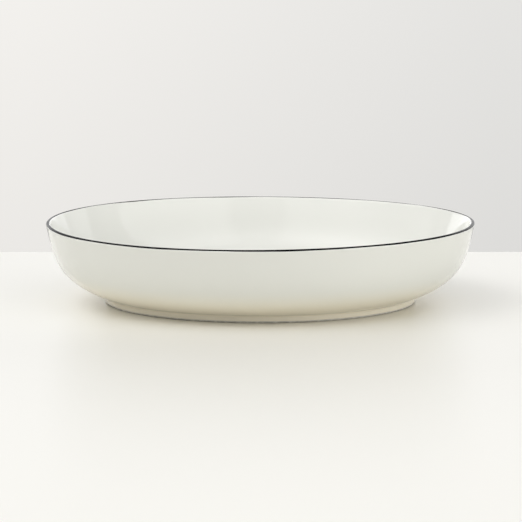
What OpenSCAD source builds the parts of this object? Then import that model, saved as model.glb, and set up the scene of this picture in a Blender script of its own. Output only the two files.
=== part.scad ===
// A low glazed china bowl for pasta, with a thin black line round its lip and a low foot ring.
// Millimetres, +Z up. The origin is the centre of the circle that the foot stands on.
// Every piece is a ring or a disc turned about Z. The outer and inner faces of the wall are two smooth
// curves, and the bare china lies one glaze thickness behind each of them.

/* [Bowl] */
// Diameter over the lip
rim_d = 230; // [200:1:280]
// Height from the table to the highest point of the lip
bowl_h = 43.3; // [36:0.1:60]

/* [Lip] */
// Thickness of the lip, which is half round on top
lip_t = 2.4; // [1.8:0.1:3.2]
// Steepness of the wall's outside just under the lip, in degrees from the table
lip_lean = 77; // [70:1:86]
// Steepness of the wall's inside just under the lip, so that the wall gets thicker downwards
inner_lean = 68; // [64:1:80]

/* [Wall] */
// Steepness of the wall's outside where it reaches the foot, in degrees from the table
foot_lean = 17; // [10:1:24]
// Radius by which the flat well inside is smaller than the foot
well_inset = 5; // [2:0.5:12]
// Thickness of the base, from the well to the recess under it
floor_t = 3.3; // [2.4:0.1:5]

/* [Foot] */
// Diameter of the foot's outer side, under its crevice
foot_d = 167.1; // [130:0.1:190]
// Height at which the wall meets the foot
foot_h = 4; // [3.4:0.1:8]
// Radius of the crevice between the wall and the foot
crevice_r = 1.5; // [1:0.1:2.2]
// Width of the foot at its root
foot_t = 4.4; // [3.6:0.1:8]
// Lean of the foot's outer side, in degrees from upright
foot_out_lean = 7; // [0:1:12]
// Lean of the foot's inner side, in degrees from upright
foot_in_lean = 12; // [0:1:14]
// Rounding of both edges that the foot stands on
edge_r = 0.7; // [0.3:0.1:0.9]
// How much higher the recess under the base lies than the place where the wall meets the foot
recess_rise = 0.5; // [0.3:0.1:2]

/* [Glaze and line] */
// Thickness of the glaze
glaze_t = 0.25; // [0.15:0.05:0.35]
// Height to which the foot is wiped bare of glaze
wiped_h = 1; // [0.9:0.1:1.3]
// Radius of the glaze that pools in the corner under the base
pool_r = 1.2; // [0.6:0.1:1.6]
// Outer end of the black line, in degrees from the top of the lip
line_out_angle = 65; // [40:1:85]
// Inner end of the black line, in degrees from the top of the lip
line_in_angle = 34; // [10:1:60]

/* [Hidden] */
$fn = 180;
wall_steps = 32;
arc_steps = 8;

// How far down the wall the lip's direction holds, as a share of the wall's rise
outer_lip_share = 0.58;
inner_lip_share = 0.6;
// Where the wall bellies out, as shares of its run and its rise from its lower end
outer_belly_shares = [0.79, 0.35];
inner_belly_shares = [0.8, 0.3];
// How far out the direction at the wall's lower end holds, as a share of its run
outer_low_share = 0.45;
inner_low_share = 0.45;

lip_r = lip_t / 2;
lip_centre = [rim_d / 2 - lip_r, bowl_h - lip_r];
foot_r = foot_d / 2;
recess_z = foot_h + recess_rise;
well_z = recess_z + floor_t;
well_r = foot_r - well_inset;
// Height of the bare china's underside, where the foot's root seats
seat_z = recess_z + glaze_t;

// Angles round the lip, from +X: its ends at the outer and inner wall, and the ends of the black line
lip_out = lip_lean - 90;
lip_in = inner_lean + 90;
line_out = 90 - line_out_angle;
line_in = 90 + line_in_angle;

function dir(a) = [cos(a), sin(a)];
function arc(c, r, a, b) = [for (i = [0 : arc_steps]) c + r * dir(a + (b - a) * i / arc_steps)];
function backwards(p) = [for (i = [len(p) - 1 : -1 : 0]) p[i]];
// Two outlines as one, where the second starts at the point that ends the first
function join(p, q) = concat(p, [for (i = [1 : len(q) - 1]) q[i]]);

// A smooth curve over control points: each pass takes the point a share t along every leg.
function along(p, t) =
    len(p) == 1 ? p[0] : along([for (i = [0 : len(p) - 2]) p[i] * (1 - t) + p[i + 1] * t], t);
function legs(p) = [for (i = [0 : len(p) - 2]) p[i + 1] - p[i]];
// Unit normal on the right of a wall that runs down and in from the lip, so it points out of the bowl
function outward(p, t) = let (h = along(legs(p), t)) [-h[1], h[0]] / norm(h);
// Points of a wall's curve, moved outwards by d
function wall(p, d) = [for (i = [0 : wall_steps]) along(p, i / wall_steps) + d * outward(p, i / wall_steps)];
// Control points of a wall between its upper and its lower end
function control(top, low, top_lean, lip_share, belly_shares, low_share, low_lean) =
    let (run = top[0] - low[0], rise = top[1] - low[1])
    [
        top,
        top - lip_share * rise * [1 / tan(top_lean), 1],
        low + [belly_shares[0] * run, belly_shares[1] * rise],
        low + low_share * run * [1, tan(low_lean)],
        low
    ];

// The crevice is an arc that leaves the wall's lower end and runs into the foot's outer side.
crevice_centre = [foot_r + crevice_r * cos(foot_out_lean), foot_h - crevice_r * cos(foot_lean)];
crevice_end = crevice_centre + crevice_r * dir(180 - foot_out_lean);
outer_wall = control(lip_centre + lip_r * dir(lip_out), crevice_centre + crevice_r * dir(90 + foot_lean),
    lip_lean, outer_lip_share, outer_belly_shares, outer_low_share, foot_lean);
inner_wall = control(lip_centre + lip_r * dir(lip_in), [well_r, well_z],
    inner_lean, inner_lip_share, inner_belly_shares, inner_low_share, 0);

// Every outline below lies at depth g under the glazed face: 0 on the glaze, glaze_t on the bare china.
function lip(a, b, g) = arc(lip_centre, lip_r - g, a, b);
function crevice(g) = arc(crevice_centre, crevice_r + g, 90 + foot_lean, 180 - foot_out_lean);
// Radius of the foot's outer and inner sides at height z
function out_side(z, g) = crevice_end[0] - (crevice_end[1] - z) * tan(foot_out_lean) - g / cos(foot_out_lean);
function in_side(z, g) = foot_r - foot_t + (recess_z - z) * tan(foot_in_lean) + g / cos(foot_in_lean);

// From the black line down the outside to the foot's wiped edge
function outside(g) = concat(
    join(join(lip(line_out, lip_out, g), wall(outer_wall, -g)), crevice(g)),
    [[out_side(wiped_h, g), wiped_h]]
);
// From the black line down the inside to the middle of the well
function inside(g) = concat(
    join(lip(line_in, lip_in, g), wall(inner_wall, g)),
    [[0, well_z - g]]
);
// The whole lip, from the outer wall over the top to the inner wall
function crest(g) = join(join(lip(lip_out, line_out, g), lip(line_out, line_in, g)), lip(line_in, lip_in, g));

// Centres of the roundings that the foot stands on, which touch its sides and the table
out_edge = [out_side(edge_r, glaze_t) - edge_r / cos(foot_out_lean), edge_r];
in_edge = [in_side(edge_r, glaze_t) + edge_r / cos(foot_in_lean), edge_r];
// Centre of the glaze's hollow in the corner between the recess and the foot's inner side
pool_z = recess_z - pool_r;
pool_centre = [in_side(pool_z, 0) - pool_r / cos(foot_in_lean), pool_z];

module turned(points)
{
    rotate_extrude()
        polygon(points);
}

module china_body()
{
    color("ivory")
        turned(concat(
            [[0, seat_z], [crevice(glaze_t)[0][0], seat_z]],
            join(join(backwards(wall(outer_wall, -glaze_t)), crest(glaze_t)), wall(inner_wall, glaze_t)),
            [[0, well_z - glaze_t]]
        ));
}

module foot_ring()
{
    color("linen")
        turned(concat(
            [[in_side(seat_z, glaze_t), seat_z], [crevice(glaze_t)[0][0], seat_z]],
            crevice(glaze_t),
            arc(out_edge, edge_r, -foot_out_lean, -90),
            arc(in_edge, edge_r, -90, foot_in_lean - 180)
        ));
}

module outer_glaze()
{
    color("whitesmoke")
        turned(concat(outside(0), backwards(outside(glaze_t))));
}

module inner_glaze()
{
    color("white")
        turned(concat(inside(0), backwards(inside(glaze_t))));
}

module base_glaze()
{
    color("ghostwhite")
        turned(concat(
            [[0, recess_z]],
            arc(pool_centre, pool_r, 90, foot_in_lean),
            [
                [in_side(wiped_h, 0), wiped_h],
                [in_side(wiped_h, glaze_t), wiped_h],
                [in_side(seat_z, glaze_t), seat_z],
                [0, seat_z]
            ]
        ));
}

module rim_line()
{
    color("black")
        turned(concat(lip(line_out, line_in, 0), backwards(lip(line_out, line_in, glaze_t))));
}

china_body();
foot_ring();
outer_glaze();
inner_glaze();
base_glaze();
rim_line();
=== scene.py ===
# %% [markdown]
# # A glazed china pasta bowl
# The real bowl is one low, wide turned form. White china is pressed or thrown to shape, a low foot ring is
# turned under it, the whole is dipped in clear glaze, and the ring's standing edge is wiped bare so that it
# doesn't stick to the kiln shelf. Last, a thin black line is banded round the lip on a turning wheel.
# Each piece here is made as the real one is: a section is drawn once and spun about the bowl's axis. Then
# come the small faults of hand and kiln, which are what tells china from plastic.

# %% Load the frame
import math

import bpy
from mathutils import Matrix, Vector, noise


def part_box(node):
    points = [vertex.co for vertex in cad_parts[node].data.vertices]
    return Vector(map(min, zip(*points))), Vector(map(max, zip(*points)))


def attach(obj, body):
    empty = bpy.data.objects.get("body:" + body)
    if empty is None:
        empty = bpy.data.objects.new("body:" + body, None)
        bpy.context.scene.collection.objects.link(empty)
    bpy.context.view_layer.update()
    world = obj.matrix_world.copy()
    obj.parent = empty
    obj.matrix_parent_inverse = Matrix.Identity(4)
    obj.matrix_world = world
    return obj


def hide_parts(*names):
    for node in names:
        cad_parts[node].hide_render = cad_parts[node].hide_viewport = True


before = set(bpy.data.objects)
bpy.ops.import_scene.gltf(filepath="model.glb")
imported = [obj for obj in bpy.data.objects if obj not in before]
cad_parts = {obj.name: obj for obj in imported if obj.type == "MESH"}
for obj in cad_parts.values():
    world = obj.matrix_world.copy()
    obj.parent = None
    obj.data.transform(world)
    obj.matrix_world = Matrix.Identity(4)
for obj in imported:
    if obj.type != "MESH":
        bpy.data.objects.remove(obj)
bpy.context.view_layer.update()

scene = bpy.context.scene
MM = 0.001

# %% [markdown]
# ## The camera
# The bowl was photographed from a little above its lip, with a long lens from about two metres away, so its
# near and far sides are almost the same scale. The camera's height comes from how open the lip's ellipse
# looks, and its distance from how the ellipse's near half differs from its far half, which leaves it loose.
# It looks at a point half way up the bowl, which is where the middle of the picture falls.

# %% Place the camera
CAMERA_DISTANCE = 2.3
CAMERA_ELEVATION = math.radians(8.225)
CAMERA_LENS = 294.7
CAMERA_SENSOR = 36
AIM = Vector((0.34 * MM, 0, 21.4 * MM))

camera_data = bpy.data.cameras.new("camera")
camera_data.lens = CAMERA_LENS
camera_data.sensor_width = CAMERA_SENSOR
camera = bpy.data.objects.new("camera", camera_data)
scene.collection.objects.link(camera)
away = Vector((0, -math.cos(CAMERA_ELEVATION), math.sin(CAMERA_ELEVATION)))
camera.location = away * CAMERA_DISTANCE
camera.rotation_euler = (camera.location - AIM).to_track_quat("Z", "Y").to_euler()
scene.camera = camera
print("camera at", [round(v, 3) for v in camera.location], "m")

# %% [markdown]
# ## The sizes
# The lip's radius and height are read off the frame, so the bowl can't drift from its construction. What a
# box can't tell, such as the thickness of the lip or how steep the wall is, is written here once, with the
# same values as the construction uses. Angles round the lip are counted from the level line that points
# out of the bowl, so the top of the lip is at a right angle.

# %% Sizes of the bowl
rim_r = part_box("outer_glaze")[1][0]
bowl_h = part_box("rim_line")[1][2]
LIP_T = 2.4 * MM
LIP_LEAN = math.radians(77)
INNER_LEAN = math.radians(68)
FOOT_LEAN = math.radians(17)
WELL_INSET = 5 * MM
FLOOR_T = 3.3 * MM
FOOT_R = 83.55 * MM
FOOT_H = 4 * MM
CREVICE_R = 1.5 * MM
FOOT_T = 4.4 * MM
FOOT_OUT_LEAN = math.radians(7)
FOOT_IN_LEAN = math.radians(12)
EDGE_R = 0.7 * MM
RECESS_RISE = 0.5 * MM
GLAZE_T = 0.25 * MM
WIPED_H = 1 * MM
POOL_R = 1.2 * MM
LINE_OUT = math.radians(90 - 65)
LINE_IN = math.radians(90 + 34)

lip_r = LIP_T / 2
lip_centre = Vector((rim_r - lip_r, bowl_h - lip_r))
recess_z = FOOT_H + RECESS_RISE
well_z = recess_z + FLOOR_T
seat_z = recess_z + GLAZE_T
lip_out = LIP_LEAN - math.pi / 2
lip_in = INNER_LEAN + math.pi / 2
print("lip radius", round(rim_r / MM, 2), "mm, height", round(bowl_h / MM, 2), "mm")

# %% [markdown]
# ## Drawing a section
# A potter checks a bowl's curve with a cut-out template. Its curve is fair: it bends more at the belly and
# less above and below, with no kink. A curve over five control points does the same. Each of its points is
# found by going the same share along every leg of the control polygon, then along the legs between those
# points, until one is left. The legs themselves, treated the same way, give the curve's direction there, so
# the bare china's face is found by moving each point square to it, by the thickness of the glaze.

# %% Helpers that draw curves
WALL_STEPS = 64
ARC_STEPS = 12
MERGE = 0.001 * MM


def direction(angle):
    return Vector((math.cos(angle), math.sin(angle)))


def arc(centre, radius, start, end, steps=ARC_STEPS):
    return [centre + radius * direction(start + (end - start) * i / steps) for i in range(steps + 1)]


def along(points, share):
    while len(points) > 1:
        points = [a.lerp(b, share) for a, b in zip(points, points[1:])]
    return points[0]


def wall_curve(points, outwards):
    legs = [b - a for a, b in zip(points, points[1:])]
    curve = []
    for i in range(WALL_STEPS + 1):
        heading = along(legs, i / WALL_STEPS).normalized()
        curve.append(along(points, i / WALL_STEPS) + outwards * Vector((-heading.y, heading.x)))
    return curve


def join(*parts):
    """Outlines as one, without the points that two of them share."""
    whole = list(parts[0])
    for part in parts[1:]:
        same = (part[0] - whole[-1]).length < MERGE
        whole += list(part[1:] if same else part)
    return whole


# %% [markdown]
# ## The wall and the foot as curves
# The wall leaves the lip almost upright, bellies out, and runs in nearly level to the foot. There it turns
# through a small hollow, the crevice, into the foot's side. The inner face follows the outer one, and ends
# level with the flat well. The two faces part a little towards the base, as the wall thickens there.

# %% Control points of the wall, and the hollow over the foot
OUTER_LIP_SHARE = 0.58
INNER_LIP_SHARE = 0.6
OUTER_BELLY_SHARES = (0.79, 0.35)
INNER_BELLY_SHARES = (0.8, 0.3)
LOW_SHARE = 0.45


def control(top, low, top_lean, lip_share, belly_shares, low_lean):
    run, rise = top - low
    return [
        top,
        top - lip_share * rise * Vector((1 / math.tan(top_lean), 1)),
        low + Vector((belly_shares[0] * run, belly_shares[1] * rise)),
        low + LOW_SHARE * run * Vector((1, math.tan(low_lean))),
        low,
    ]


crevice_start = math.pi / 2 + FOOT_LEAN
crevice_stop = math.pi - FOOT_OUT_LEAN
crevice_centre = Vector((FOOT_R + CREVICE_R * math.cos(FOOT_OUT_LEAN),
                         FOOT_H - CREVICE_R * math.cos(FOOT_LEAN)))
crevice_end = crevice_centre + CREVICE_R * direction(crevice_stop)
outer_wall = control(lip_centre + lip_r * direction(lip_out),
                     crevice_centre + CREVICE_R * direction(crevice_start),
                     LIP_LEAN, OUTER_LIP_SHARE, OUTER_BELLY_SHARES, FOOT_LEAN)
inner_wall = control(lip_centre + lip_r * direction(lip_in), Vector((FOOT_R - WELL_INSET, well_z)),
                     INNER_LEAN, INNER_LIP_SHARE, INNER_BELLY_SHARES, 0)
print("the wall runs", round((outer_wall[0] - outer_wall[-1]).x / MM, 1), "mm and rises",
      round((outer_wall[0] - outer_wall[-1]).y / MM, 1), "mm")

# %% [markdown]
# Every outline is asked for at a depth under the glazed face: none for the glossy face itself, and one
# glaze thickness for the bare china. So the coats and the body meet exactly, with no gap and no overlap.

# %% Outlines at a depth under the glazed face


def lip(start, end, depth):
    return arc(lip_centre, lip_r - depth, start, end)


def crevice(depth):
    return arc(crevice_centre, CREVICE_R + depth, crevice_start, crevice_stop)


def out_side(z, depth):
    radius = crevice_end.x - (crevice_end.y - z) * math.tan(FOOT_OUT_LEAN)
    return Vector((radius - depth / math.cos(FOOT_OUT_LEAN), z))


def in_side(z, depth):
    radius = FOOT_R - FOOT_T + (recess_z - z) * math.tan(FOOT_IN_LEAN)
    return Vector((radius + depth / math.cos(FOOT_IN_LEAN), z))


print("the foot is", round((out_side(WIPED_H, 0) - in_side(WIPED_H, 0)).x / MM, 1), "mm wide over its glaze")

# %% [markdown]
# ## Turning a section into a piece
# By hand, a section is drawn from one vertex, extruded from point to point in the plane through the axis,
# and then spun a full turn. Spin leaves a seam where the last copy meets the first, and a heap of points
# where the section touches the axis, so doubles are merged, and then normals are made to point outwards.

# %% Helpers that draw and spin
TURNS = 288
SHARP = math.radians(40)


def clear_selection():
    if bpy.context.object and bpy.context.object.mode != "OBJECT":
        bpy.ops.object.mode_set(mode="OBJECT")
    bpy.ops.object.select_all(action="DESELECT")


def draw_section(name, outline):
    """Extrudes one vertex along the outline, in the plane of X and Z."""
    clear_selection()
    start = outline[0]
    bpy.ops.mesh.primitive_plane_add(size=MM, location=(start.x, 0, start.y))
    piece = bpy.context.object
    piece.name = name
    piece.data.name = name
    bpy.ops.object.transform_apply(location=True, rotation=True, scale=True)
    bpy.ops.object.mode_set(mode="EDIT")
    bpy.ops.mesh.select_all(action="SELECT")
    bpy.ops.mesh.merge(type="CENTER")
    for before, after in zip(outline, outline[1:]):
        step = (after.x - before.x, 0, after.y - before.y)
        bpy.ops.mesh.extrude_vertices_move(TRANSFORM_OT_translate={"value": step})
    bpy.ops.mesh.select_all(action="SELECT")
    bpy.ops.mesh.remove_doubles(threshold=MERGE)
    return piece


def turn(name, outline):
    """A closed piece from an outline that comes back to its start, or that starts and ends on the axis."""
    piece = draw_section(name, outline)
    bpy.ops.mesh.spin(steps=TURNS, angle=2 * math.pi, center=(0, 0, 0), axis=(0, 0, 1))
    bpy.ops.mesh.select_all(action="SELECT")
    bpy.ops.mesh.remove_doubles(threshold=MERGE)
    bpy.ops.mesh.normals_make_consistent(inside=False)
    bpy.ops.object.mode_set(mode="OBJECT")
    bpy.ops.object.shade_smooth_by_angle(angle=SHARP)
    print(name, "has", len(piece.data.vertices), "vertices")
    return piece


def closed(outline):
    return outline + [outline[0]]


# %% [markdown]
# ## The fired body
# Under the glaze lies the china itself, which only shows where it was wiped. It is drawn whole all the
# same, one glaze thickness inside the glossy faces: from the middle of the underside out to the foot's
# root, up the wall, over the lip and back down to the middle of the well.

# %% China body
body_outline = join(
    [Vector((0, seat_z)), Vector((crevice(GLAZE_T)[0].x, seat_z))],
    wall_curve(outer_wall, -GLAZE_T)[::-1],
    lip(lip_out, lip_in, GLAZE_T),
    wall_curve(inner_wall, GLAZE_T),
    [Vector((0, well_z - GLAZE_T))])
china_body = turn("bowl_china", body_outline)

# %% [markdown]
# ## The foot ring
# The ring is bare china where it was wiped, and the bowl stands on its flat edge. Its section is drawn right
# up to its seat under the base, although the glaze hides most of it, so that the ring is a whole piece.

# %% Foot ring
out_edge = Vector((out_side(EDGE_R, GLAZE_T).x - EDGE_R / math.cos(FOOT_OUT_LEAN), EDGE_R))
in_edge = Vector((in_side(EDGE_R, GLAZE_T).x + EDGE_R / math.cos(FOOT_IN_LEAN), EDGE_R))
ring_outline = join(
    [in_side(seat_z, GLAZE_T), Vector((crevice(GLAZE_T)[0].x, seat_z))],
    crevice(GLAZE_T),
    arc(out_edge, EDGE_R, -FOOT_OUT_LEAN, -math.pi / 2),
    arc(in_edge, EDGE_R, -math.pi / 2, FOOT_IN_LEAN - math.pi))
foot_ring = turn("standing_ring", closed(ring_outline))

# %% [markdown]
# ## The glaze on the outside
# Clear glaze coats the wall from the black line down, runs through the crevice over the foot and stops one
# millimetre above the table, where it was wiped. Surface tension leaves its lower end as a small round roll.
# The coat is drawn as a closed skin: down its glossy face, round the roll, and back up along the china.

# %% Outer glaze
ROLL_STEPS = 6
roll_centre = out_side(WIPED_H + GLAZE_T, GLAZE_T)
roll = arc(roll_centre, (out_side(WIPED_H + GLAZE_T, 0) - roll_centre).length, 0, -math.pi / 2, ROLL_STEPS)
outside_face = join(lip(LINE_OUT, lip_out, 0), wall_curve(outer_wall, 0), crevice(0), roll)
outside_china = join(lip(LINE_OUT, lip_out, GLAZE_T), wall_curve(outer_wall, -GLAZE_T), crevice(GLAZE_T))
outer_glaze = turn("glaze_outside", closed(outside_face + outside_china[::-1]))

# %% [markdown]
# ## The glaze on the inside
# The inner coat runs from the black line down the wall and across the flat well. It is the widest glossy
# face of the bowl, and its section ends on the axis, so the spin closes it with a fan at the middle.

# %% Inner glaze
inside_face = join(lip(LINE_IN, lip_in, 0), wall_curve(inner_wall, 0), [Vector((0, well_z))])
inside_china = join(lip(LINE_IN, lip_in, GLAZE_T), wall_curve(inner_wall, GLAZE_T),
                    [Vector((0, well_z - GLAZE_T))])
inner_glaze = turn("glaze_inside", inside_face[::-1] + inside_china)

# %% [markdown]
# ## The glaze under the base
# Under the bowl the glaze coats the recess inside the ring. It gathers in the corner, where it makes a
# small hollow curve, and it too ends in a roll where the ring was wiped.

# %% Base glaze
pool_z = recess_z - POOL_R
pool_centre = Vector((in_side(pool_z, 0).x - POOL_R / math.cos(FOOT_IN_LEAN), pool_z))
base_roll_centre = in_side(WIPED_H + GLAZE_T, GLAZE_T)
base_roll_r = (base_roll_centre - in_side(WIPED_H + GLAZE_T, 0)).length
base_outline = join(
    [Vector((0, recess_z))],
    arc(pool_centre, POOL_R, math.pi / 2, FOOT_IN_LEAN),
    arc(base_roll_centre, base_roll_r, math.pi, 1.5 * math.pi, ROLL_STEPS),
    [in_side(seat_z, GLAZE_T), Vector((0, seat_z))])
base_glaze = turn("glaze_under_base", base_outline)

# %% [markdown]
# ## The black line
# The line is enamel that a brush lays on the lip while the bowl turns on a wheel. It covers the top of the
# lip and reaches further down its outer side than its inner side, because the brush is held from outside.
# It stands a few hundredths of a millimetre proud of the glaze and tapers to nothing at both edges, which
# is what catches a hair of light along a real line.

# %% Black line
LINE_PROUD = 0.03 * MM
LINE_TAPER = math.radians(5)
LINE_STEPS = 30

line_crown = arc(lip_centre, lip_r + LINE_PROUD, LINE_OUT + LINE_TAPER, LINE_IN - LINE_TAPER, LINE_STEPS)
line_back = arc(lip_centre, lip_r - GLAZE_T, LINE_IN, LINE_OUT, LINE_STEPS)
line_outline = join(
    [lip_centre + lip_r * direction(LINE_OUT)], line_crown,
    [lip_centre + lip_r * direction(LINE_IN)], line_back)
rim_line = turn("black_line", closed(line_outline))

# %% [markdown]
# ## The brush's hand
# No banded line is ruled. Its edges stray by a tenth or two of a millimetre as the wheel turns, and where
# the stroke closes on itself the two ends lap over and the line is a little wider. The edge is moved by
# turning points about the middle of the lip, so they slide along the round of the lip and its shape stays.
# The glaze beside the line is moved by the same rule, so the two still meet. The brush is held from outside
# and doesn't quite reach the edge that was planned inside, so that edge is drawn back by a few degrees.
# Blender's noise, read on a circle, comes back to its start after a full turn. A slow noise makes the wheel's
# long strays, which are wider inside, and a quick one makes the bristles' short ones. The line's two seeds
# were picked by a search, for a width that varies much as it does in the photograph.

# %% Let the line's edges stray
OUTER_STRAY = math.radians(9)
INNER_STRAY = math.radians(15)
QUICK_STRAY = math.radians(4)
SLOW_WAVES = 4
QUICK_WAVES = 11
OUTER_SEED = 25.5
INNER_SEED = 87.6
STRAY_REACH = math.radians(33)
INNER_DRAWN_BACK = math.radians(4)
LAP_PLACE = math.radians(128)
LAP_LENGTH = math.radians(5)
LAP_EXTRA = math.radians(7)


def round_noise(turned, waves, seed):
    """Noise all the way round the bowl, between about minus and plus a half."""
    return noise.noise(Vector((waves * math.cos(turned), waves * math.sin(turned), seed)))


def ease(share):
    """Goes from nothing to one with no kink at either end."""
    share = min(1, max(0, share))
    return share * share * (3 - 2 * share)


def stray(turned, size, seed):
    """How far an edge is moved towards the middle of the line. At the lap it is moved away from it."""
    lap = math.exp(-((turned - LAP_PLACE) / LAP_LENGTH) ** 2)
    slow = size * round_noise(turned, SLOW_WAVES, seed)
    quick = QUICK_STRAY * round_noise(turned, QUICK_WAVES, seed)
    return slow + quick - LAP_EXTRA * lap


def brush_edge(piece):
    """Slides the points near the line's two edges along the round of the lip."""
    moved = 0
    for vertex in piece.data.vertices:
        x, y, z = vertex.co
        from_middle = Vector((math.hypot(x, y) - lip_centre.x, z - lip_centre.y))
        angle = math.atan2(from_middle.y, from_middle.x)
        if from_middle.length > LIP_T or angle < lip_out or angle > lip_in:
            continue
        turned = math.atan2(y, x)
        near_out = ease(1 - abs(angle - LINE_OUT) / STRAY_REACH)
        near_in = ease(1 - abs(angle - LINE_IN) / STRAY_REACH)
        slide = near_out * stray(turned, OUTER_STRAY, OUTER_SEED)
        slide -= near_in * (INNER_DRAWN_BACK + stray(turned, INNER_STRAY, INNER_SEED))
        place = lip_centre + from_middle.length * direction(angle + slide)
        vertex.co = (place.x * math.cos(turned), place.x * math.sin(turned), place.y)
        moved += near_out + near_in > 0
    piece.data.update()
    print(piece.name, "had", moved, "points moved along the lip")


for piece in (outer_glaze, inner_glaze, rim_line):
    brush_edge(piece)

# %% [markdown]
# ## The wiped edge
# The glaze's lower edge is where a damp sponge stopped. It wanders too, by about a tenth of a millimetre,
# and it slides along the side of the foot, so the coat keeps its thickness.

# %% Let the wiped edge wander
WIPE_WANDER = 0.22 * MM
WIPE_WAVES = 7
WIPE_TOP = 2.3 * MM
OUTER_WIPE_SEED = 1.3
BASE_WIPE_SEED = 5.9


def wipe_edge(piece, side_lean, seed):
    """Slides the end of a coat up and down the side of the foot that it lies on."""
    for vertex in piece.data.vertices:
        x, y, z = vertex.co
        if z > WIPE_TOP:
            continue
        turned = math.atan2(y, x)
        near_end = ease((WIPE_TOP - z) / (WIPE_TOP - WIPED_H))
        lift = WIPE_WANDER * round_noise(turned, WIPE_WAVES, seed) * near_end
        radius = math.hypot(x, y) + lift * math.tan(side_lean)
        vertex.co = (radius * math.cos(turned), radius * math.sin(turned), z + lift)
    piece.data.update()
    lowest = min(vertex.co.z for vertex in piece.data.vertices)
    print(piece.name, "now ends", round(lowest / MM, 2), "mm above the table")


wipe_edge(outer_glaze, FOOT_OUT_LEAN, OUTER_WIPE_SEED)
wipe_edge(base_glaze, -FOOT_IN_LEAN, BASE_WIPE_SEED)

# %% [markdown]
# ## What the kiln did
# China softens in the kiln, and the lip never comes out quite level. The photograph shows it: the near and
# far halves of the black line aren't mirror images. Three gentle bends make up the lip's rise and fall: a
# tilt, a saddle with two highs and two lows, and a wave with three of each. Written as powers of one complex
# number, each bend is smooth over the whole bowl and zero at its middle. The lip is also set half a
# millimetre low, so that its highest place stays under the height of the frame. A cage, Blender's lattice,
# carries all this to every piece alike. Its lower layer stays on the table, so the foot stays flat, and the
# points of its upper layer are pulled by the sum of the bends. The cage has four points along each side and
# is three times as wide as the bowl, so the bowl fills its middle cell, where the spline is smooth. The sizes
# of the bends come from a fit to the line in the photograph, lightly changed.

# %% Shape the cage
LIP_DROP = -0.5 * MM
LIP_BENDS = {
    1: complex(0.2, 0.21) * MM,
    2: complex(0.26, -0.36) * MM,
    3: complex(-0.01, 0.1) * MM,
}
CAGE_POINTS = 4


def kiln_pull(x, y):
    """How far the lip's level moves over a place in the plan, in metres."""
    place = complex(x, y) / rim_r
    return LIP_DROP + sum((bend.conjugate() * place ** order).real for order, bend in LIP_BENDS.items())


clear_selection()
cage_side = 2 * rim_r * (CAGE_POINTS - 1)
bpy.ops.object.add(type="LATTICE", location=(0, 0, bowl_h / 2))
cage = bpy.context.object
cage.name = "kiln_cage"
cage.scale = (cage_side, cage_side, bowl_h)
cage.data.points_u = CAGE_POINTS
cage.data.points_v = CAGE_POINTS
cage.data.interpolation_type_u = "KEY_BSPLINE"
cage.data.interpolation_type_v = "KEY_BSPLINE"
cage.data.interpolation_type_w = "KEY_LINEAR"
for point in cage.data.points:
    if point.co.z > 0:
        point.co_deform.z += kiln_pull(point.co.x * cage_side, point.co.y * cage_side) / bowl_h
print("the cage has", len(cage.data.points), "points,", round(cage_side, 3), "m wide")

# %% [markdown]
# A lattice modifier bends a piece as the cage was pulled. It is applied to each piece in turn, and then the
# cage has done its work and is deleted. The lip's level is measured as the line's highest point in each
# direction from the axis.

# %% Bend all pieces in the one cage
all_pieces = (china_body, foot_ring, outer_glaze, inner_glaze, base_glaze, rim_line)
for piece in all_pieces:
    clear_selection()
    bpy.context.view_layer.objects.active = piece
    piece.select_set(True)
    bend = piece.modifiers.new("kiln_bend", "LATTICE")
    bend.object = cage
    bpy.ops.object.modifier_apply(modifier=bend.name)
clear_selection()
cage.select_set(True)
bpy.ops.object.delete()
tops = {}
for vertex in rim_line.data.vertices:
    spoke = round(math.atan2(vertex.co.y, vertex.co.x) * TURNS / (2 * math.pi)) % TURNS
    tops[spoke] = max(tops.get(spoke, 0), vertex.co.z / MM)
low_top, high_top = min(tops.values()), max(tops.values())
print("the top of the line lies between", round(low_top, 2), "and", round(high_top, 2), "mm")

# %% [markdown]
# ## Riding on the frame
# The bowl has no moving part, so every piece rides on its one body. Each new piece takes the place of the
# solid of the same form, which is hidden but stays in the frame for its collision and mass.

# %% Hang each piece on the body and hide the solid it stands for
stands_for = {
    china_body: ("china_body", "bare_china"),
    foot_ring: ("foot_ring", "bare_china"),
    outer_glaze: ("outer_glaze", "glaze"),
    inner_glaze: ("inner_glaze", "glaze"),
    base_glaze: ("base_glaze", "glaze"),
    rim_line: ("rim_line", "black_enamel"),
}
for piece, (node, slot) in stands_for.items():
    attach(piece, "root")
    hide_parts(node)
print(len(stands_for), "pieces ride on the bowl's one body")

# %% [markdown]
# ## Where the glaze gathers, and painted shade by the foot
# Melted glaze creeps down a wall and gathers in the hollows: over the foot, and in the corner under the
# base. There it reads warmer than on the open wall. The same warmer, darker tone is also painted shade: it
# darkens the lower outer wall towards the foot and the corner under the base, where little light reaches.
# How much is stored on the mesh, one number for each point, because it follows the shape and not a pattern
# in space. On the inside the well is wide and flat, so none gathers.

# %% Store how much glaze has pooled, and how much painted shade lies near the foot
POOL_AND_SHADE_TOP = 20 * MM
POOL_AND_SHADE_FULL = 5 * MM
CORNER_REACH = 3 * POOL_R


def store_pooled_glaze_and_shade(piece, pooled_glaze_and_shade):
    """Stores a share for each point, by its distance from the axis and its height."""
    layer = piece.data.attributes.new("pooled_glaze_and_shade", "FLOAT", "POINT")
    for vertex, value in zip(piece.data.vertices, layer.data):
        value.value = pooled_glaze_and_shade(math.hypot(vertex.co.x, vertex.co.y), vertex.co.z)


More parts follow.
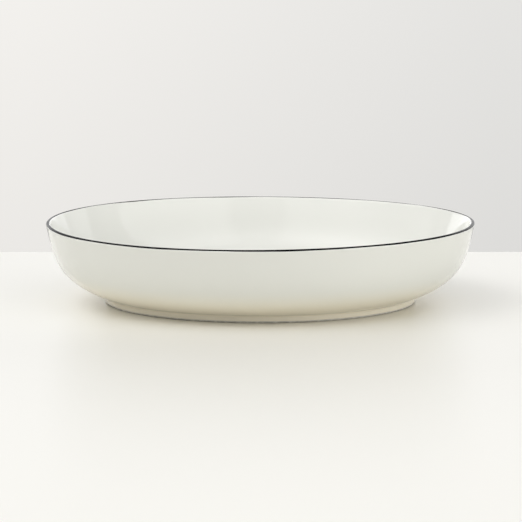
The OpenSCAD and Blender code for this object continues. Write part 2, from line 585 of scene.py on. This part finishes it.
# Painted shade as well as pooled glaze: strongest towards the foot, gone higher up the wall.
store_pooled_glaze_and_shade(outer_glaze, lambda radius, z: ease((POOL_AND_SHADE_TOP - z) / (POOL_AND_SHADE_TOP - POOL_AND_SHADE_FULL)))
store_pooled_glaze_and_shade(base_glaze, lambda radius, z: ease(1 - (in_side(z, 0).x - radius) / CORNER_REACH))
store_pooled_glaze_and_shade(inner_glaze, lambda radius, z: 0)
print("stored for", [piece.name for piece in (outer_glaze, base_glaze, inner_glaze)])

# %% [markdown]
# ## One surface for all that was fired
# Seen close, glazed china isn't one flat colour. The glaze lies a touch thicker here and there, and its face
# has a faint ripple that only shows where something is mirrored in it. Bare china and enamel have the same
# two traits at other scales: tone that drifts, and a skin that isn't flat. So both are built once, as a node
# group with named inputs, and each material sets its own values.

# %% Helpers for groups and materials
FLOAT = "NodeSocketFloat"
COLOR = "NodeSocketColor"


def new_group(name, inputs, outputs):
    group = bpy.data.node_groups.new(name, "ShaderNodeTree")
    for label, kind, value in inputs:
        group.interface.new_socket(name=label, in_out="INPUT", socket_type=kind).default_value = value
    for label, kind in outputs:
        group.interface.new_socket(name=label, in_out="OUTPUT", socket_type=kind)
    return group


def new_material(name):
    material = bpy.data.materials.new(name)
    material.use_nodes = True
    nodes = material.node_tree.nodes
    return material, nodes, material.node_tree.links, nodes["Principled BSDF"]


# %% Build the group for fired surfaces
fired_surface = new_group(
    "fired_surface",
    [("Tone A", COLOR, (0.8, 0.8, 0.8, 1)), ("Tone B", COLOR, (0.7, 0.7, 0.7, 1)), ("Tone Scale", FLOAT, 60),
     ("Ripple Scale", FLOAT, 400), ("Ripple Depth", FLOAT, 0.02 * MM)],
    [("Color", COLOR), ("Mask", FLOAT), ("Normal", "NodeSocketVector")])
nodes, links = fired_surface.nodes, fired_surface.links
given = nodes.new("NodeGroupInput")
result = nodes.new("NodeGroupOutput")
place = nodes.new("ShaderNodeTexCoord")
drift = nodes.new("ShaderNodeTexNoise")
drift.inputs["Detail"].default_value = 3
ripple = nodes.new("ShaderNodeTexNoise")
ripple.inputs["Detail"].default_value = 2
blend = nodes.new("ShaderNodeMix")
blend.data_type = "RGBA"
bump = nodes.new("ShaderNodeBump")
for noise_node, scale in ((drift, "Tone Scale"), (ripple, "Ripple Scale")):
    links.new(place.outputs["Object"], noise_node.inputs["Vector"])
    links.new(given.outputs[scale], noise_node.inputs["Scale"])
links.new(drift.outputs["Fac"], blend.inputs["Factor"])
links.new(given.outputs["Tone A"], blend.inputs["A"])
links.new(given.outputs["Tone B"], blend.inputs["B"])
links.new(given.outputs["Ripple Depth"], bump.inputs["Distance"])
links.new(ripple.outputs["Fac"], bump.inputs["Height"])
links.new(blend.outputs["Result"], result.inputs["Color"])
links.new(drift.outputs["Fac"], result.inputs["Mask"])
links.new(bump.outputs["Normal"], result.inputs["Normal"])
print("group", fired_surface.name, "has", len(nodes), "nodes")

# %% [markdown]
# A finish takes the group, sets its values and adds what is its own. Three helpers do what every finish
# needs: one places the group, one stretches a value from one range to another, and one blends a tone over
# the colour. Blender's noise hardly ever leaves the middle of its range, so the middle is what is stretched.

# %% Helpers that place the group and add to it
NOISE_RANGE = (0.3, 0.7)


def fired(name, tones, tone_scale, ripple_scale, ripple_depth):
    """A new material with the fired surface on it, and the group's node."""
    material, nodes, links, shader = new_material(name)
    effect = nodes.new("ShaderNodeGroup")
    effect.node_tree = fired_surface
    effect.inputs["Tone A"].default_value = (*tones[0], 1)
    effect.inputs["Tone B"].default_value = (*tones[1], 1)
    effect.inputs["Tone Scale"].default_value = tone_scale
    effect.inputs["Ripple Scale"].default_value = ripple_scale
    effect.inputs["Ripple Depth"].default_value = ripple_depth
    links.new(effect.outputs["Color"], shader.inputs["Base Color"])
    links.new(effect.outputs["Normal"], shader.inputs["Normal"])
    return material, effect


def ranged(nodes, links, source, low, high, to_low, to_high):
    """Stretches a value from one range to another."""
    step = nodes.new("ShaderNodeMapRange")
    for label, value in (("From Min", low), ("From Max", high), ("To Min", to_low), ("To Max", to_high)):
        step.inputs[label].default_value = value
    links.new(source, step.inputs["Value"])
    return step.outputs["Result"]


def tinted(nodes, links, shader, factor, tone):
    """Blends a tone over what feeds the shader's colour, as far as the factor says."""
    blend = nodes.new("ShaderNodeMix")
    blend.data_type = "RGBA"
    below = shader.inputs["Base Color"].links[0].from_socket
    links.new(factor, blend.inputs["Factor"])
    links.new(below, blend.inputs["A"])
    blend.inputs["B"].default_value = (*tone, 1)
    links.new(blend.outputs["Result"], shader.inputs["Base Color"])


# %% [markdown]
# ## Glazed china
# The glaze is glass over white clay, so one glossy shader with glass's index of refraction does for both.
# The white is a warm one. The outside looks a little greyer than the inside in the photograph, and here that
# is painted shade: the outside and the base are given darker tones, as less light falls on them. A thinner
# coat could look the same, but the coats here are equally thick. That reason is a guess, and the coats here
# are equally thick. So the finish is built by one function and used twice, with a lit and a shaded pair of
# tones. Roughness drifts a little with the tone, from fresh and glassy to faintly used, and a warmer, darker
# tone is blended in by the number stored on the mesh, for pooled glaze and for painted shade near the foot.

# %% Glazed china
GLAZE_IOR = 1.5
GLAZE_ROUGHNESS = (0.04, 0.075)
INSIDE_TONES = ((0.81, 0.812, 0.76), (0.795, 0.797, 0.742))
# Darker than the inside's tones: painted shade on the outside and the base, not a thinner coat.
OUTSIDE_SHADED_TONES = ((0.772, 0.776, 0.725), (0.757, 0.761, 0.707))
# A warmer, darker tone: pooled glaze, and painted shade near the foot and under the base.
POOLED_GLAZE_AND_SHADE_TONE = (0.9, 0.845, 0.7)


def glazed_china(name, tones):
    material, surface = fired(name, tones, tone_scale=12, ripple_scale=110, ripple_depth=0.004 * MM)
    nodes, links = material.node_tree.nodes, material.node_tree.links
    shader = nodes["Principled BSDF"]
    shader.inputs["IOR"].default_value = GLAZE_IOR
    roughness = ranged(nodes, links, surface.outputs["Mask"], *NOISE_RANGE, *GLAZE_ROUGHNESS)
    links.new(roughness, shader.inputs["Roughness"])
    # Blends in the warmer, darker tone by the stored share: pooled glaze, and painted shade near the foot.
    pooled_glaze_and_shade = nodes.new("ShaderNodeAttribute")
    pooled_glaze_and_shade.attribute_name = "pooled_glaze_and_shade"
    tinted(nodes, links, shader, pooled_glaze_and_shade.outputs["Fac"], POOLED_GLAZE_AND_SHADE_TONE)
    return material


inside_coat = glazed_china("glazed_china_inside", INSIDE_TONES)
# The shaded copy of the glaze, for the outside and the base: painted shade.
shaded_outside_coat = glazed_china("glazed_china_outside_shaded", OUTSIDE_SHADED_TONES)
print(inside_coat.name, "is for the inside,", shaded_outside_coat.name, "for the outside and the base")

# %% [markdown]
# ## Bare china
# Where the ring was wiped, the china is matt and faintly grainy, like an eggshell. The very edge that the
# bowl stands on is darkened with a broken grey: partly scuffed from shelves and tables, and partly painted
# shade where the ring meets the table. It is found by height: it is strongest on the last tenths of a
# millimetre and fades to a trace above them. A fine noise breaks it up.

# %% Bare china
BARE_TONES = ((0.76, 0.735, 0.67), (0.71, 0.685, 0.615))
BARE_ROUGHNESS = (0.62, 0.74)
SCUFF_AND_SHADE_H = 0.8 * MM
SCUFF_AND_SHADE_TRACE = 0.2
SCUFF_AND_SHADE_SCALE = 420
SCUFF_AND_SHADE_NOISE = (0.3, 0.55)
SCUFF_AND_SHADE_BREAKS = (0.3, 1)
# A dark grey for the standing edge: scuffing, and painted shade where the ring meets the table.
SCUFF_AND_SHADE_TONE = (0.27, 0.25, 0.21)

bare, surface = fired("bare_china", BARE_TONES, tone_scale=160, ripple_scale=2600, ripple_depth=0.012 * MM)
nodes, links = bare.node_tree.nodes, bare.node_tree.links
shader = nodes["Principled BSDF"]
roughness = ranged(nodes, links, surface.outputs["Mask"], *NOISE_RANGE, *BARE_ROUGHNESS)
links.new(roughness, shader.inputs["Roughness"])
place = nodes.new("ShaderNodeTexCoord")
apart = nodes.new("ShaderNodeSeparateXYZ")
scuff_and_shade_noise = nodes.new("ShaderNodeTexNoise")
scuff_and_shade_noise.inputs["Scale"].default_value = SCUFF_AND_SHADE_SCALE
scuff_and_shade_noise.inputs["Detail"].default_value = 4
scuff_and_shade = nodes.new("ShaderNodeMath")
scuff_and_shade.operation = "MULTIPLY"
links.new(place.outputs["Object"], apart.inputs["Vector"])
links.new(place.outputs["Object"], scuff_and_shade_noise.inputs["Vector"])
links.new(ranged(nodes, links, apart.outputs["Z"], 0, SCUFF_AND_SHADE_H, 1, SCUFF_AND_SHADE_TRACE), scuff_and_shade.inputs[0])
links.new(ranged(nodes, links, scuff_and_shade_noise.outputs["Fac"], *SCUFF_AND_SHADE_NOISE, *SCUFF_AND_SHADE_BREAKS), scuff_and_shade.inputs[1])
# Blends in the dark edge: scuffing, and painted shade at the contact with the table.
tinted(nodes, links, shader, scuff_and_shade.outputs["Value"], SCUFF_AND_SHADE_TONE)
print(bare.name, "is for the body and the foot ring")

# %% [markdown]
# ## Black enamel
# Enamel is fired at a lower heat than the glaze, so it stays a little duller and mirrors much less. The
# bristles leave streaks that run along the line. A pattern that depends only on the distance from the axis
# and on the height can't change along the line, and that is just what a streak is, so the noise is read from
# those two numbers.

# %% Black enamel
ENAMEL_TONES = ((0.003, 0.003, 0.0035), (0.006, 0.006, 0.0065))
ENAMEL_MIRROR = 0.05
ENAMEL_ROUGHNESS = (0.14, 0.34)
STREAK_SCALE = 5200

enamel, surface = fired("black_enamel", ENAMEL_TONES,
                        tone_scale=90, ripple_scale=420, ripple_depth=0.003 * MM)
nodes, links = enamel.node_tree.nodes, enamel.node_tree.links
shader = nodes["Principled BSDF"]
shader.inputs["Specular IOR Level"].default_value = ENAMEL_MIRROR
place = nodes.new("ShaderNodeTexCoord")
apart = nodes.new("ShaderNodeSeparateXYZ")
flat = nodes.new("ShaderNodeVectorMath")
flat.operation = "MULTIPLY"
flat.inputs[1].default_value = (1, 1, 0)
reach = nodes.new("ShaderNodeVectorMath")
reach.operation = "LENGTH"
section = nodes.new("ShaderNodeCombineXYZ")
streaks = nodes.new("ShaderNodeTexNoise")
streaks.inputs["Scale"].default_value = STREAK_SCALE
streaks.inputs["Detail"].default_value = 2
links.new(place.outputs["Object"], flat.inputs[0])
links.new(flat.outputs["Vector"], reach.inputs[0])
links.new(place.outputs["Object"], apart.inputs["Vector"])
links.new(reach.outputs["Value"], section.inputs["X"])
links.new(apart.outputs["Z"], section.inputs["Y"])
links.new(section.outputs["Vector"], streaks.inputs["Vector"])
roughness = ranged(nodes, links, streaks.outputs["Fac"], *NOISE_RANGE, *ENAMEL_ROUGHNESS)
links.new(roughness, shader.inputs["Roughness"])
print(enamel.name, "is for the black line")

# %% [markdown]
# ## Which finish goes where
# Each piece has one finish, as each was one step of the making. The body and the ring are bare china all
# over, also where a coat hides them, because that is what a chip in the glaze would show.

# %% Give each piece its finish
inner_glaze.data.materials.append(inside_coat)
for piece in (outer_glaze, base_glaze):
    piece.data.materials.append(shaded_outside_coat)
for piece in (china_body, foot_ring):
    piece.data.materials.append(bare)
rim_line.data.materials.append(enamel)
print({piece.name: piece.data.materials[0].name for piece in all_pieces})

# %% [markdown]
# ## The table
# The bowl stands on a plain pale table top that ends a hand's width behind it. It is a slab, so that it has
# an edge when it is seen from behind, and its finish is satin, so that it mirrors the wall faintly.

# %% Table top
TABLE_BACK = 0.2
TABLE_FRONT = -1.6
TABLE_HALF = 1.5
TABLE_T = 0.03
TABLE_EDGE = 2 * MM
TABLE_EDGE_STEPS = 3
TABLE_TONE = (0.87, 0.855, 0.79)
TABLE_ROUGHNESS = 0.35

clear_selection()
bpy.ops.mesh.primitive_cube_add(size=1, location=(0, (TABLE_BACK + TABLE_FRONT) / 2, -TABLE_T / 2))
table = bpy.context.object
table.name = "table_top"
table.scale = (2 * TABLE_HALF, TABLE_BACK - TABLE_FRONT, TABLE_T)
bpy.ops.object.transform_apply(location=True, rotation=True, scale=True)
bpy.ops.object.mode_set(mode="EDIT")
bpy.ops.mesh.select_all(action="SELECT")
bpy.ops.mesh.bevel(offset=TABLE_EDGE, segments=TABLE_EDGE_STEPS)
bpy.ops.object.mode_set(mode="OBJECT")
bpy.ops.object.shade_smooth_by_angle(angle=SHARP)
table_paint, nodes, links, shader = new_material("table_paint")
shader.inputs["Base Color"].default_value = (*TABLE_TONE, 1)
shader.inputs["Roughness"].default_value = TABLE_ROUGHNESS
table.data.materials.append(table_paint)
print("the table ends", round((TABLE_BACK - rim_r) / MM), "mm behind the bowl")

# %% [markdown]
# ## The room as one soft light
# A studio for white china is a white tent: wide pale panels all round, with dimmer gaps between them. The
# panels light the bowl, and the gaps are what draws its form, as soft edges mirrored in the glaze. Panels
# this wide are simplest painted on the sky itself, by direction. Three colour ramps say how bright the
# tent is all the way round at three heights above the horizon, and one value says it overhead. Angles round
# the horizon are counted from straight behind the bowl towards the left. The direction of a ray is found
# first, as its angle round the horizon and its height above it, both in degrees. The room is fitted to one
# photograph, so it is a guess, and another room could give nearly the same picture.

# %% Find the direction of a ray as two angles
world = bpy.data.worlds.new("studio")
scene.world = world
world.use_nodes = True
nodes, links = world.node_tree.nodes, world.node_tree.links


def sum_node(operation, *values):
    """The output of a math node over sockets and plain numbers, in the tree that is being built."""
    step = nodes.new("ShaderNodeMath")
    step.operation = operation
    for socket, value in zip(step.inputs, values):
        if isinstance(value, (int, float)):
            socket.default_value = value
        else:
            links.new(value, socket)
    return step.outputs["Value"]


look = nodes.new("ShaderNodeTexCoord")
parts = nodes.new("ShaderNodeSeparateXYZ")
links.new(look.outputs["Generated"], parts.inputs["Vector"])
leftwards = sum_node("MULTIPLY", parts.outputs["X"], -1)
bearing = sum_node("DEGREES", sum_node("ARCTAN2", leftwards, parts.outputs["Y"]))
height = sum_node("DEGREES", sum_node("ARCSINE", parts.outputs["Z"]))
bearing_share = sum_node("FRACT", sum_node("ADD", sum_node("DIVIDE", bearing, 360), 1))
print("a ray's direction takes", len(nodes), "nodes with the two that a new world has")

# %% [markdown]
# Each ring is a ramp over the angle round the horizon, with its stops at even steps, and the height says how
# far one ring gives way to the next. The stops hold shares of one full level, so that no colour in a ramp
# is above one. The levels weren't chosen by hand: a program outside this file rendered each part of the sky
# alone and solved for the sum nearest to the photograph, and these are its results, rounded.

# %% Paint the tent in rings
LOW_RING = (1.4, 0.4, 0.65, 0, 0, 0, 0, 0.55, 2.45, 3.9, 0.95, 0)
MIDDLE_RING = (0.9, 0.05, 0.5, 0, 0, 0.2)
HIGH_RING = (0, 2.35, 0.8)
OVERHEAD = 0.55
RING_FULL = 4
RING_HEIGHTS = (-25, 5, 25, 50, 80)


def ring(levels):
    """The level of light from one ramp round the horizon, which ends as it starts."""
    ramp = nodes.new("ShaderNodeValToRGB")
    stops = ramp.color_ramp.elements
    stops.remove(stops[1])
    for i, level in enumerate(levels + levels[:1]):
        stop = stops[0] if i == 0 else stops.new(i / len(levels))
        stop.position = i / len(levels)
        stop.color = (level / RING_FULL,) * 3 + (1,)
    links.new(bearing_share, ramp.inputs["Fac"])
    return sum_node("MULTIPLY", ramp.outputs["Color"], RING_FULL)


def blended(below, above, low, high):
    """Goes from one level to another between two heights above the horizon."""
    share = ranged(nodes, links, height, low, high, 0, 1)
    return sum_node("ADD", sum_node("MULTIPLY", below, sum_node("SUBTRACT", 1, share)),
                    sum_node("MULTIPLY", above, share))


tent = 0
for level, low, high in zip((ring(LOW_RING), ring(MIDDLE_RING), ring(HIGH_RING), OVERHEAD),
                            RING_HEIGHTS, RING_HEIGHTS[1:]):
    tent = blended(tent, level, low, high)
print("the tent has", len(nodes), "nodes")

# %% [markdown]
# Behind the table stands a plain pale wall. It is a little lighter on the left, where the window is, and
# towards its top. Its two tones were first read off the photograph, left and right above the bowl, and then
# adjusted. Below the wall lies the studio's floor, which the table hides from the camera. Its two levels come
# from the same program as the rings'. The glaze mirrors both, and the tent above. How far to the side a ray
# goes is the sideways part of its direction, which runs from minus one to one, and heights are in degrees.

# %% The wall behind the table and the floor below it
WALL_LEFT = (0.865, 0.848, 0.82)
WALL_RIGHT = (0.755, 0.748, 0.73)
WALL_SPREAD = 0.056
WALL_SHADE = (0.955, 1.035)
WALL_SHADE_HEIGHTS = (-7.8, -4.2)
WALL_TOP = (-4, -2.5)
WALL_FOOT = (-8.5, -8)
FLOOR_LEFT = 0.4
FLOOR_RIGHT = 0.5
FLOOR_SPREAD = 0.01
LIGHT_TONE = (1, 1, 1.01)


def toned(level):
    """A level of light in the studio's slightly cool tone."""
    step = nodes.new("ShaderNodeVectorMath")
    step.operation = "SCALE"
    step.inputs["Vector"].default_value = LIGHT_TONE
    links.new(level, step.inputs["Scale"])
    return step.outputs["Vector"]


def layered(below, above, share):
    """Mixes two colours by a share."""
    step = nodes.new("ShaderNodeMix")
    step.data_type = "RGBA"
    for label, color in (("A", below), ("B", above)):
        if isinstance(color, tuple):
            step.inputs[label].default_value = (*color, 1)
        else:
            links.new(color, step.inputs[label])
    links.new(share, step.inputs["Factor"])
    return step.outputs["Result"]


sideways = parts.outputs["X"]
wall = layered(WALL_LEFT, WALL_RIGHT, ranged(nodes, links, sideways, -WALL_SPREAD, WALL_SPREAD, 0, 1))
wall_shade = nodes.new("ShaderNodeVectorMath")
wall_shade.operation = "SCALE"
links.new(wall, wall_shade.inputs["Vector"])
links.new(ranged(nodes, links, height, *WALL_SHADE_HEIGHTS, *WALL_SHADE), wall_shade.inputs["Scale"])
floor = toned(ranged(nodes, links, sideways, -FLOOR_SPREAD, FLOOR_SPREAD, FLOOR_LEFT, FLOOR_RIGHT))
room = layered(floor, wall_shade.outputs["Vector"], ranged(nodes, links, height, *WALL_FOOT, 0, 1))
room = layered(room, toned(tent), ranged(nodes, links, height, *WALL_TOP, 0, 1))
print("the room has", len(nodes), "nodes without its panels")

# %% [markdown]
# A ramp gives soft changes only. Where the photograph shows a sharp edge mirrored in the glaze, there may
# have been a window, a white card or a dark gap with an edge. These are added as panels, and a gap is a panel
# that takes light away. Their places were set by hand. So were the levels of the window, of the dim part
# beside it and of the gap on the right, and the other levels come from the same program as the rings'. One
# node group paints one panel: its middle and half width round the horizon, its lower and upper edge above it,
# all in degrees, and the level that it adds.

# %% Build the group for one panel
PANEL_EDGE = 2
room_nodes, room_links = nodes, links
panel_group = new_group(
    "sky_panel",
    [("Bearing", FLOAT, 0), ("Height", FLOAT, 0), ("Middle", FLOAT, 0), ("Half Width", FLOAT, 30),
     ("Low", FLOAT, 0), ("High", FLOAT, 40), ("Level", FLOAT, 1)],
    [("Light", FLOAT)])
nodes, links = panel_group.nodes, panel_group.links
given = nodes.new("NodeGroupInput")
result = nodes.new("NodeGroupOutput")
off_middle = sum_node("SUBTRACT", given.outputs["Bearing"], given.outputs["Middle"])
off_middle = sum_node("WRAP", off_middle, 180, -180)
within = sum_node("SUBTRACT", given.outputs["Half Width"], sum_node("ABSOLUTE", off_middle))
over = sum_node("SUBTRACT", given.outputs["Height"], given.outputs["Low"])
under = sum_node("SUBTRACT", given.outputs["High"], given.outputs["Height"])
lit = given.outputs["Level"]
for distance in (within, over, under):
    edge = ranged(nodes, links, distance, -PANEL_EDGE / 2, PANEL_EDGE / 2, 0, 1)
    lit = sum_node("MULTIPLY", lit, edge)
links.new(lit, result.inputs["Light"])
print("group", panel_group.name, "has", len(nodes), "nodes")

# %% [markdown]
# Each panel is the group once more with its own values, and the light of all of them is added to the room's.
# Where gaps meet the dim side of the tent the sum could fall below nothing, so it is never let under the
# level of the room's dimmest corner.

# %% Hang the panels
DIMMEST = (0.06, 0.06, 0.06)
PANEL_VALUES = ("Middle", "Half Width", "Low", "High", "Level")
PANELS = {
    "window": (27.5, 15.5, 0, 15, 1.2),
    "window_top": (21.5, 21.5, 26, 45, 0.4),
    "beside_window": (52, 9, -2, 26, -0.45),
    "gap_right": (285.5, 12.5, -2, 45, -0.8),
    "right_back": (310, 12, -2, 26, 0.2),
    "back_right": (336, 14, -2, 26, 0.9),
    "card_right": (235.5, 35.5, 0, 70, 0.8),
    "card_left": (103.5, 60.5, 0, 70, 0.65),
    "low_front": (182, 18, -5, 12, -1),
    "dark_left_back": (19, 12, -8, -2, -0.5),
}
nodes, links = room_nodes, room_links
hung = 0
for name, values in PANELS.items():
    panel = nodes.new("ShaderNodeGroup")
    panel.name = name
    panel.node_tree = panel_group
    for label, value in zip(PANEL_VALUES, values):
        panel.inputs[label].default_value = value
    links.new(bearing, panel.inputs["Bearing"])
    links.new(height, panel.inputs["Height"])
    hung = sum_node("ADD", hung, panel.outputs["Light"])
whole = nodes.new("ShaderNodeVectorMath")
whole.operation = "ADD"
links.new(room, whole.inputs[0])
links.new(toned(hung), whole.inputs[1])
lit_room = nodes.new("ShaderNodeVectorMath")
lit_room.operation = "MAXIMUM"
lit_room.inputs[1].default_value = DIMMEST
links.new(whole.outputs["Vector"], lit_room.inputs[0])
links.new(lit_room.outputs["Vector"], nodes["Background"].inputs["Color"])
print(len(PANELS), "panels hang in the room")

# %% [markdown]
# ## The view
# The Standard view shows the colours as they were mixed.

# %% Finish
scene.view_settings.view_transform = "Standard"
